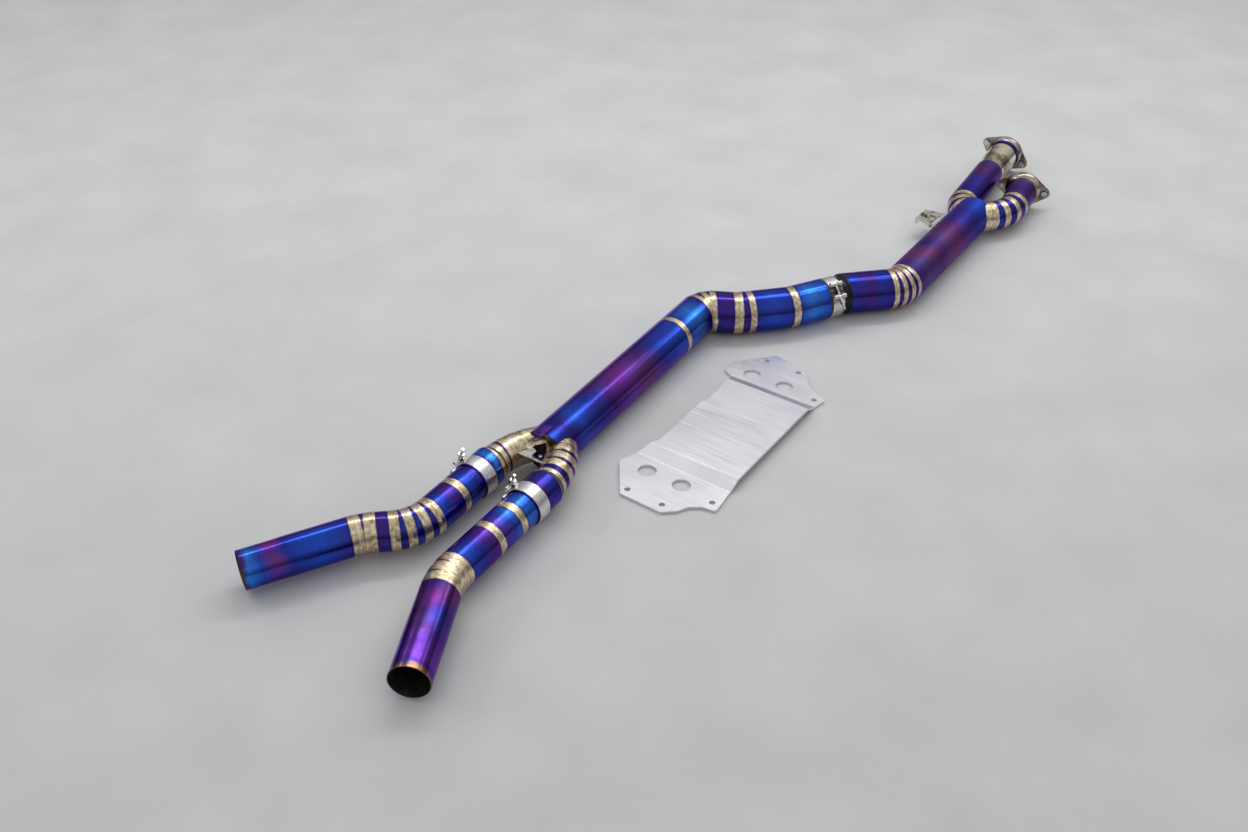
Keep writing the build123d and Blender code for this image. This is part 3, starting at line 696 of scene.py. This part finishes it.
@dataclass
class MidPipe:
    """Long tube, first bend and slotted socket, with the two rear outlets."""

    finishes: Finishes
    radius: float = 0.0445
    lip: float = 0.045
    runs: tuple[Run, ...] = ((0.416, 0.0), (0.1064, -21.4), (0.017, -21.3), (0.017, -21.3), (0.0544, 19.0),
                             (0.025, 0.0), (0.093, 13.0), (0.114, 0.0))
    outlet_radius: float = 0.03175
    sleeve_radius: float = 0.0365
    outlet_x: float = -0.118
    outlet_y: float = 0.060
    outlet_turn: float = 10.0
    outlet_runs: tuple[Run, ...] = ((0.030, 7.0), (0.023, 10.0), (0.0224, 9.0), (0.064, 0.0))
    outlet_span: float = 0.15
    left_face: float = -0.188
    left_band: float = 0.0125
    left_zones: Zones = ((0.0, Tint.BLUE), (0.45, Tint.INDIGO), (0.62, Tint.SKY), (1.0, Tint.ROYAL))
    right_face: float = -0.197
    right_band: float = 0.0092
    right_zones: Zones = ((0.0, Tint.INDIGO), (0.4, Tint.PURPLE), (0.7, Tint.BLUE), (1.0, Tint.INDIGO))
    merge_reach: float = 0.045
    merge_band: float = 0.035
    bend_bands: tuple[float, ...] = (0.0058, 0.0066, 0.0072, 0.0098, 0.0072)
    ring_band: float = 0.0072
    kink_share: float = 1.15
    bead: WeldBead = WeldBead()

    def __post_init__(self) -> None:
        """Place the centrelines on the frame."""
        low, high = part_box("long_tube")
        self.start = Vector((low.x + self.lip, (low.y + high.y) / 2, (low.z + high.z) / 2))
        self.line = Line.trace(self.start, 0.0, list(self.runs))

    def tube(self, node: str, run: int, zones: Zones, seams: list[Seam],
             patches: tuple[Patch, ...] = (), back: float = 0.0, last: int = -1) -> None:
        """Dress one stretch of the main line.

        Args:
            node: The node's name.
            run: Index of its first run.
            zones: Tints along it.
            seams: Welds with straw bands that touch it.
            patches: Spots of other tints.
            back: How far it reaches behind its first corner, metres.
            last: Index of its last run, where it holds several.
        """
        end = max(run, last) + 1
        start = self.line.corners[run] - Line.direction(self.line.headings[run]) * back
        length = (self.line.corners[end] - start).length
        finish = HeatTint(start, self.line.headings[run], length, self.radius, zones, tuple(seams), patches,
                          hollow=last < 0)
        dress(node, finish.material(node + "_tint"))

    def dress_main(self) -> None:
        """Give the main line its oxide colours and weld beads."""
        line = self.line
        ring = line.seam(1, self.ring_band)
        bend = [line.seam(corner, band) for corner, band in zip(range(2, 7), self.bend_bands)]
        kink = line.seam(7, self.ring_band * self.kink_share)
        self.tube("long_tube", 0,
                  ((0.0, Tint.BLUE), (0.1, Tint.INDIGO), (0.17, Tint.ROYAL), (0.28, Tint.BLUE),
                   (0.40, Tint.PURPLE), (0.55, Tint.VIOLET), (0.66, Tint.PURPLE), (0.78, Tint.BLUE),
                   (1.0, Tint.ROYAL)), [ring],
                  (Patch(0.23, 10.0, 0.075, Tint.MAGENTA, 0.45), Patch(0.16, 70.0, 0.06, Tint.ROSE, 0.4),
                   Patch(0.29, 60.0, 0.05, Tint.ROSE, 0.35), Patch(0.30, -80.0, 0.07, Tint.ROSE, 0.5)),
                  self.lip)
        self.tube("lead_in_tube", 1, ((0.0, Tint.ROYAL), (0.5, Tint.SKY), (0.9, Tint.BLUE)), [ring, bend[0]])
        self.tube("first_bend_rings", 2, ((0.0, Tint.BLUE), (0.5, Tint.PURPLE), (1.0, Tint.BLUE)), bend,
                  last=5)
        self.tube("centre_tube", 6, ((0.0, Tint.BLUE), (0.5, Tint.ROYAL), (1.0, Tint.BLUE)),
                  [bend[-1], kink])
        self.tube("slotted_socket", 7,
                  ((0.0, Tint.ROYAL), (0.3, Tint.SKY), (0.7, Tint.ROYAL), (1.0, Tint.BLUE)), [kink])
        self.bead.group("first_bend_welds", bend, self.radius, "mid_pipe", self.finishes.weld)
        self.bead.group("long_tube_weld", [ring], self.radius, "mid_pipe", self.finishes.weld)
        self.bead.group("centre_tube_weld", [kink], self.radius, "mid_pipe", self.finishes.weld)

    def dress_outlet(self, side: str, sign: float, face: float, band: float, zones: Zones) -> None:
        """Give one rear outlet its sleeve's tint, straw elbow and weld beads.

        Args:
            side: The outlet's side, left or right.
            sign: 1 on the left, -1 on the right.
            face: Place of the sleeve's mouth along the long tube, metres.
            band: Half width of its straw bands, metres.
            zones: Tints along the sleeve.
        """
        mouth = self.start + Vector((face, sign * self.outlet_y, 0.0))
        first = self.start + Vector((self.outlet_x, sign * self.outlet_y, 0.0))
        runs = [(length, -sign * turn) for length, turn in self.outlet_runs]
        line = Line.trace(first, -sign * self.outlet_turn, runs)
        seams = line.seams(0, 3, band)
        merge = line.corners[3] + Line.direction(line.headings[3]) * self.merge_reach
        seams.append(Seam(merge, seams[3].normal, self.merge_band, 1.0))
        sleeve = HeatTint(mouth, 0.0, (first - mouth).length, self.sleeve_radius, zones, (seams[0],))
        dress(side + "_outlet_sleeve", sleeve.material(side + "_sleeve_tint"))
        elbow = HeatTint(first, line.headings[0], self.outlet_span, self.outlet_radius,
                         ((0.0, Tint.INDIGO), (1.0, Tint.BLUE)), tuple(seams), hollow=False)
        dress(side + "_outlet_elbow", elbow.material(side + "_elbow_tint"))
        self.bead.group(side + "_outlet_welds", seams[:4], self.outlet_radius, "mid_pipe", self.finishes.weld)

    def dress_trim(self) -> None:
        """Give the rear cap, the gusset and the tab their finishes."""
        tab = HeatTint(self.start, 0.0, 0.2, self.radius, ((0.0, Tint.VIOLET), (1.0, Tint.MAGENTA)),
                       hollow=False)
        soften("shield_tab", "shield_tab_rounded", tab.material("tab_tint"), 0.0005)
        dress("rear_merge_cap", self.finishes.weld)
        soften("crotch_gusset", "crotch_gusset_rounded", self.finishes.bracket, 0.0005)

    def build(self) -> None:
        """Build and dress the whole mid pipe."""
        self.dress_main()
        self.dress_outlet("left", 1.0, self.left_face, self.left_band, self.left_zones)
        self.dress_outlet("right", -1.0, self.right_face, self.right_band, self.right_zones)
        self.dress_trim()


@dataclass
class FrontPipe:
    """Slip stub, second bend, front tube and both inlets."""

    finishes: Finishes
    socket_end: Vector
    socket_heading: float
    origin: Vector
    radius: float = 0.0445
    branch_radius: float = 0.035
    cone_radius: float = 0.039
    stub_run: float = 0.024
    stub_turn: float = -15.0
    runs: tuple[Run, ...] = ((0.103, 11.25), (0.014, 11.25), (0.014, 11.25), (0.014, 11.25), (0.402, 0.0))
    left_inlet: tuple[float, float, float] = (1.266, -0.327, 51.0)
    left_runs: tuple[Run, ...] = ((0.026, -16.5), (0.020, -16.5), (0.022, -16.0), (0.204, 0.0), (0.106, 0.0),
                                  (0.012, 0.0), (0.022, 0.0))
    right_inlet: tuple[float, float, float] = (1.266, -0.335, -46.0)
    right_runs: tuple[Run, ...] = ((0.042, 9.0), (0.028, 15.0), (0.030, 14.0), (0.030, 14.0), (0.090, 0.0),
                                   (0.022, 0.0))
    band: float = 0.0062
    inlet_band: float = 0.0088
    cone_band: float = 0.002
    left_merge_band: float = 0.016
    right_merge_band: float = 0.034
    ring_span: float = 0.04
    left_elbow_span: float = 0.07
    right_elbow_span: float = 0.13
    bead: WeldBead = WeldBead()

    def inlet(self, place: tuple[float, float, float], runs: tuple[Run, ...]) -> Line:
        """Centreline of one inlet from its merge point."""
        return Line.trace(self.origin + Vector((place[0], place[1], 0.0)), place[2], list(runs))

    def dress_line(self) -> None:
        """Give the stub, link tube, second bend and front tube their finishes."""
        corner = self.socket_end + Line.direction(self.socket_heading) * self.stub_run
        line = Line.trace(corner, self.socket_heading + self.stub_turn, list(self.runs))
        bend = line.seams(1, 4, self.band)
        # The stub is coloured almost black as painted shadow where the link tube's end overhangs it.
        dress("slip_stub", STUB_PAINTED_SHADOW.material("stub_painted_shadow"))
        link = HeatTint(corner, line.headings[0], self.runs[0][0], self.radius,
                        ((0.0, Tint.BLUE), (0.5, Tint.PURPLE), (0.75, Tint.BLUE), (1.0, Tint.INDIGO)),
                        (bend[0],))
        dress("link_tube", link.material("link_tube_tint"))
        rings = HeatTint(line.corners[1], line.headings[1], self.ring_span, self.radius,
                         ((0.0, Tint.PURPLE), (1.0, Tint.INDIGO)), tuple(bend), hollow=False)
        dress("second_bend_rings", rings.material("second_bend_tint"))
        front = HeatTint(line.corners[4], line.headings[4], self.runs[4][0], self.radius,
                         ((0.0, Tint.PURPLE), (0.12, Tint.DUSK), (0.3, Tint.INDIGO), (0.45, Tint.DUSK),
                          (0.6, Tint.PURPLE), (0.8, Tint.BLUE), (1.0, Tint.ROYAL)), (bend[3],),
                         (Patch(0.075, 30.0, 0.05, Tint.ROSE, 0.85),
                          Patch(0.10, -30.0, 0.045, Tint.ROSE, 0.7),
                          Patch(0.21, 50.0, 0.06, Tint.ROSE, 0.5),
                          Patch(0.20, -70.0, 0.1, Tint.ROSE, 0.55)),
                         roughness=0.40)
        dress("front_tube", front.material("front_tube_tint"))
        dress("front_merge_cap", self.finishes.weld)
        self.bead.group("second_bend_welds", bend, self.radius, "front_pipe", self.finishes.weld)

    def dress_inlets(self) -> None:
        """Give both inlets their elbows, tubes, cone and collar finishes."""
        left = self.inlet(self.left_inlet, self.left_runs)
        right = self.inlet(self.right_inlet, self.right_runs)
        left_seams = left.seams(1, 3, self.inlet_band)
        left_seams.append(Seam(left.corners[0], left_seams[0].normal, self.left_merge_band, 1.0))
        elbow = HeatTint(left.corners[0], left.headings[0], self.left_elbow_span, self.branch_radius,
                         ((0.0, Tint.PURPLE), (1.0, Tint.PURPLE)), tuple(left_seams), hollow=False)
        dress("left_inlet_elbow", elbow.material("left_inlet_elbow_tint"))
        cone_seam = left.seam(4, self.cone_band)
        tube = HeatTint(left.corners[3], left.headings[3], self.left_runs[3][0], self.branch_radius,
                        ((0.0, Tint.INDIGO), (0.35, Tint.BLUE), (0.6, Tint.PURPLE), (1.0, Tint.DUSK)),
                        (left_seams[2], cone_seam), (Patch(0.14, 40.0, 0.05, Tint.ROSE, 0.6),),
                        roughness=0.34)
        dress("left_inlet_tube", tube.material("left_inlet_tube_tint"))
        dress("left_inlet_cone", CONE.material("polished_cone"))
        collar = HeatTint(left.corners[5], left.headings[5], self.left_runs[5][0], self.cone_radius,
                          ((0.0, Tint.INDIGO), (1.0, Tint.BLUE)), hollow=False)
        dress("left_inlet_collar", collar.material("collar_tint"))
        right_seams = right.seams(1, 4, self.inlet_band)
        right_seams.append(Seam(right.corners[0], right_seams[0].normal, self.right_merge_band, 1.0))
        elbow = HeatTint(right.corners[0], right.headings[0], self.right_elbow_span, self.branch_radius,
                         ((0.0, Tint.SKY), (0.35, Tint.ROYAL), (0.6, Tint.INDIGO), (1.0, Tint.BLUE)),
                         tuple(right_seams), hollow=False)
        dress("right_inlet_elbow", elbow.material("right_inlet_elbow_tint"))
        tube = HeatTint(right.corners[4], right.headings[4], self.right_runs[4][0], self.branch_radius,
                        ((0.0, Tint.DUSK), (0.5, Tint.PURPLE), (1.0, Tint.DUSK)), (right_seams[3],),
                        roughness=0.34)
        dress("right_inlet_tube", tube.material("right_inlet_tube_tint"))
        self.bead.group("left_inlet_welds", left_seams[:3] + [cone_seam], self.branch_radius, "front_pipe",
                        self.finishes.weld)
        self.bead.group("right_inlet_welds", right_seams[:4], self.branch_radius, "front_pipe",
                        self.finishes.weld)

    def dress_hanger(self) -> None:
        """Round the hanger bracket and its bolt, and finish the flared tube ends."""
        soften("hanger_bracket", "hanger_bracket_rounded", self.finishes.bracket, 0.0006)
        soften("hanger_bolt", "hanger_bolt_rounded", self.finishes.bolt, 0.0005)
        for side in ("left", "right"):
            dress(side + "_inlet_flare", self.finishes.worn_flange)

    def build(self) -> None:
        """Build and dress the whole front pipe."""
        self.dress_line()
        self.dress_inlets()
        self.dress_hanger()


@dataclass
class Tail:
    """One tail pipe, from inside its sleeve to the open end."""

    finishes: Finishes
    side: str
    start: Vector
    runs: tuple[Run, ...]
    bends: tuple[tuple[str, int, int], ...]
    tubes: tuple[tuple[str, int, Zones, tuple[Patch, ...]], ...]
    bands: dict[int, float]
    radius: float = 0.035
    bead: WeldBead = WeldBead()

    def build(self) -> None:
        """Dress every tube and ring of the tail and weld its seams."""
        line = Line.trace(self.start, 180.0, list(self.runs))
        seams = {corner: line.seam(corner, band) for corner, band in self.bands.items()}
        body = self.side + "_tail"
        for part, run, zones, patches in self.tubes:
            near = tuple(seams[corner] for corner in (run, run + 1) if corner in seams)
            finish = HeatTint(line.corners[run], line.headings[run], self.runs[run][0], self.radius, zones,
                              near, patches)
            dress(f"{body}_{part}", finish.material(f"{body}_{part}_tint"))
        for part, first, last in self.bends:
            near = tuple(seams[corner] for corner in range(first, last + 1))
            length = (line.corners[last] - line.corners[first]).length
            finish = HeatTint(line.corners[first], line.headings[first], length, self.radius,
                              ((0.0, Tint.BLUE), (0.5, Tint.ROYAL), (1.0, Tint.BLUE)), near, hollow=False)
            dress(f"{body}_{part}", finish.material(f"{body}_{part}_tint"))
        self.bead.group(body + "_welds", list(seams.values()), self.radius, body, self.finishes.weld)


@dataclass
class BandClamp:
    """Strap, T-bolt, trunnion and nut of one clamp."""

    finishes: Finishes
    name: str

    def build(self) -> None:
        """Round every piece of the clamp."""
        soften(self.name + "_clamp_band", self.name + "_clamp_strap", self.finishes.strap, 0.0005)
        for part in ("t_bolt", "trunnion", "nut"):
            node = f"{self.name}_clamp_{part}"
            soften(node, node + "_rounded", self.finishes.bolt, 0.0004)


@dataclass
class SwivelFlange:
    """Domed two-bolt flange that turns on the flared tube end, with its studs."""

    finishes: Finishes
    side: str
    worn: bool

    def build(self) -> None:
        """Round the flange and its studs."""
        finish = self.finishes.worn_flange if self.worn else self.finishes.flange
        soften(self.side + "_flange", self.side + "_flange_rounded", finish, 0.0006)
        soften(self.side + "_flange_studs", self.side + "_flange_studs_rounded", self.finishes.bolt, 0.0005)


@dataclass
class BracePlate:
    """Stepped underbody plate with rounded edges."""

    finishes: Finishes
    edge: float = 0.0012
    segments: int = 3
    smooth_angle: float = 8.0
    round_level: float = 0.85

    def build(self) -> None:
        """Round the plate's edges."""
        soften("brace_plate", "brace_plate_rounded", self.finishes.plate, self.edge, self.segments,
               self.smooth_angle, self.round_level)


@dataclass(frozen=True)
class SoftBox:
    """One area light: its place, the point it faces, its width and height, and its power in watts."""

    name: str
    at: Place
    aim: Place
    size: tuple[float, float]
    power: float

    def hang(self) -> None:
        """Add the light to the scene."""
        data = bpy.data.lights.new(self.name, "AREA")
        data.shape = AREA_LIGHT_SHAPE
        data.size, data.size_y = self.size
        data.energy = self.power
        light = bpy.data.objects.new(self.name, data)
        light.location = self.at
        light.rotation_euler = (Vector(self.aim) - Vector(self.at)).to_track_quat("-Z", "Y").to_euler()
        bpy.context.scene.collection.objects.link(light)


@dataclass
class Studio:
    """Pale floor, soft lights and the camera."""

    origin: Vector
    floor_size: float = 30.0
    horizon: Colour = (0.13, 0.13, 0.14)
    horizon_level: float = 0.03
    zenith: Colour = (0.66, 0.665, 0.68)
    zenith_level: float = 0.56
    world_strength: float = 0.9
    boxes: tuple[SoftBox, ...] = (
        SoftBox("overhead", (1.0, 0.62, 2.6), (0.3, 0.0, 0.0), (3.2, 0.24), 14.0),
        SoftBox("overhead_near", (1.0, 0.26, 2.6), (0.3, 0.0, 0.0), (3.2, 0.14), 8.0),
        SoftBox("front", (2.6, -0.6, 2.0), (0.0, 0.0, 0.0), (1.2, 0.6), 6.0),
        SoftBox("left", (-1.0, 2.6, 1.8), (0.0, 0.0, 0.0), (2.4, 0.5), 8.0))
    eye: Place = (-1.6160, -1.1470, 1.5100)
    look: float = 31.845
    pitch: float = 36.307
    roll: float = 0.760
    lens: float = 38.60

    def build_floor(self) -> None:
        """Lay the floor."""
        mesh = bmesh.new()
        bmesh.ops.create_grid(mesh, x_segments=1, y_segments=1, size=self.floor_size / 2)
        data = bpy.data.meshes.new("floor")
        mesh.to_mesh(data)
        mesh.free()
        floor = bpy.data.objects.new("floor", data)
        bpy.context.scene.collection.objects.link(floor)
        graph = Graph("pale_floor")
        cloud = graph.noise(graph.place, 5.0, 5.0)
        grit = graph.noise(graph.place, 240.0, 3.0)
        colour = graph.ramp(cloud, [(0.3, (0.66, 0.66, 0.655)), (0.7, (0.73, 0.73, 0.725))])
        colour = graph.mix(graph.span(grit, 0.66, 0.78, 0.0, 0.35), colour, (0.40, 0.40, 0.40))
        graph.set("Base Color", colour)
        graph.set("Roughness", 0.7)
        data.materials.append(graph.material)

    def build_world(self) -> None:
        """Surround the set with soft light that is darker near the horizon."""
        world = bpy.data.worlds.new("soft_room")
        bpy.context.scene.world = world
        world.use_nodes = True
        tree = world.node_tree
        background = tree.nodes["Background"]
        place = tree.nodes.new("ShaderNodeTexCoord")
        split = tree.nodes.new("ShaderNodeSeparateXYZ")
        ramp = tree.nodes.new("ShaderNodeValToRGB")
        tree.links.new(place.outputs["Generated"], split.inputs[0])
        tree.links.new(split.outputs[2], ramp.inputs[0])
        tree.links.new(ramp.outputs[0], background.inputs["Color"])
        low, high = ramp.color_ramp.elements
        low.position = self.horizon_level
        low.color = (*self.horizon, 1.0)
        high.position = self.zenith_level
        high.color = (*self.zenith, 1.0)
        background.inputs["Strength"].default_value = self.world_strength

    def build_camera(self) -> None:
        """Set the camera."""
        data = bpy.data.cameras.new("camera")
        data.sensor_width = 36.0
        data.lens = self.lens
        camera = bpy.data.objects.new("camera", data)
        pitch = math.radians(self.pitch)
        forward = Line.direction(self.look) * math.cos(pitch) - Vector((0.0, 0.0, math.sin(pitch)))
        level = forward.cross(Vector((0.0, 0.0, 1.0))).normalized()
        upright = level.cross(forward)
        roll = math.radians(self.roll)
        right = level * math.cos(roll) + upright * math.sin(roll)
        up = upright * math.cos(roll) - level * math.sin(roll)
        turn = Matrix((right, up, -forward)).transposed().to_4x4()
        camera.matrix_world = Matrix.Translation(self.origin + Vector(self.eye)) @ turn
        bpy.context.scene.collection.objects.link(camera)
        bpy.context.scene.camera = camera

    def build(self) -> None:
        """Build the whole set."""
        self.build_floor()
        self.build_world()
        for box in self.boxes:
            box.hang()
        self.build_camera()
        bpy.context.scene.view_settings.view_transform = "Standard"


def left_tail(finishes: Finishes, origin: Vector) -> Tail:
    """The tail on the left, with its two bends.

    Args:
        finishes: Shared materials.
        origin: Point where the rear outlets meet the long tube.

    Returns:
        The tail.
    """
    return Tail(
        finishes, "left", origin + Vector((-0.138, 0.060, 0.0)),
        ((0.099, 0.0), (0.067, -12.75), (0.022, -12.75), (0.022, -12.75), (0.022, -12.75), (0.040, 10.0),
         (0.026, 10.5), (0.195, 0.0)),
        (("inner_bend_rings", 2, 5), ("outer_bend_ring", 6, 7)),
        (("slip_tube", 0, ((0.0, Tint.PURPLE), (0.5, Tint.PURPLE), (0.7, Tint.BLUE), (1.0, Tint.ROYAL)), ()),
         ("lead_tube", 1, ((0.0, Tint.BLUE), (0.3, Tint.PURPLE), (0.7, Tint.BLUE), (1.0, Tint.ROYAL)), ()),
         ("short_tube", 5, ((0.0, Tint.BLUE), (0.6, Tint.PURPLE), (1.0, Tint.BLUE)), ()),
         ("end_tube", 7, ((0.0, Tint.BLUE), (0.35, Tint.ROYAL), (0.6, Tint.BLUE), (0.72, Tint.VIOLET),
                          (0.82, Tint.ROYAL), (0.95, Tint.SKY), (1.0, Tint.PURPLE)),
          (Patch(0.145, -20.0, 0.024, Tint.MAGENTA, 0.8), Patch(0.140, 50.0, 0.022, Tint.ROSE, 0.5)))),
        {1: 0.0080, 2: 0.0088, 3: 0.0085, 4: 0.0085, 5: 0.0088, 6: 0.0105, 7: 0.0105})


def right_tail(finishes: Finishes, origin: Vector) -> Tail:
    """The tail on the right, with its single bend.

    Args:
        finishes: Shared materials.
        origin: Point where the rear outlets meet the long tube.

    Returns:
        The tail.
    """
    return Tail(
        finishes, "right", origin + Vector((-0.147, -0.060, 0.0)),
        ((0.088, 0.0), (0.061, 0.0), (0.094, 8.2), (0.022, 8.2), (0.022, 8.2), (0.200, 0.0)),
        (("bend_rings", 3, 5),),
        (("slip_tube", 0, ((0.0, Tint.BLUE), (0.6, Tint.ROYAL), (1.0, Tint.SKY)), ()),
         ("middle_tube", 1, ((0.0, Tint.SKY), (0.5, Tint.ROYAL), (1.0, Tint.VIOLET)), ()),
         ("lead_tube", 2, ((0.0, Tint.VIOLET), (0.3, Tint.PURPLE), (0.6, Tint.BLUE), (1.0, Tint.ROYAL)), ()),
         ("end_tube", 5, ((0.0, Tint.PURPLE), (0.3, Tint.INDIGO), (0.6, Tint.PURPLE), (0.85, Tint.VIOLET),
                          (0.945, Tint.PURPLE), (1.0, Tint.BROWN)),
          (Patch(0.05, 0.0, 0.03, Tint.MAGENTA, 0.6), Patch(0.03, 60.0, 0.04, Tint.ROSE, 0.5),
           Patch(0.1, -40.0, 0.05, Tint.ROSE, 0.4)))),
        {1: 0.0080, 2: 0.0080, 3: 0.0105, 4: 0.0112, 5: 0.0105})


def main() -> None:
    """Build every sub-assembly in order, then the set."""
    logging.basicConfig(level=logging.INFO, format="%(message)s")
    finishes = Finishes()
    mid = MidPipe(finishes)
    mid.build()
    FrontPipe(finishes, mid.line.corners[-1], mid.line.headings[-1], mid.start).build()
    left_tail(finishes, mid.start).build()
    right_tail(finishes, mid.start).build()
    for name in ("mid", "left", "right"):
        BandClamp(finishes, name).build()
    SwivelFlange(finishes, "left", True).build()
    SwivelFlange(finishes, "right", False).build()
    BracePlate(finishes).build()
    Studio(mid.start).build()


if __name__ == "__main__":
    main()
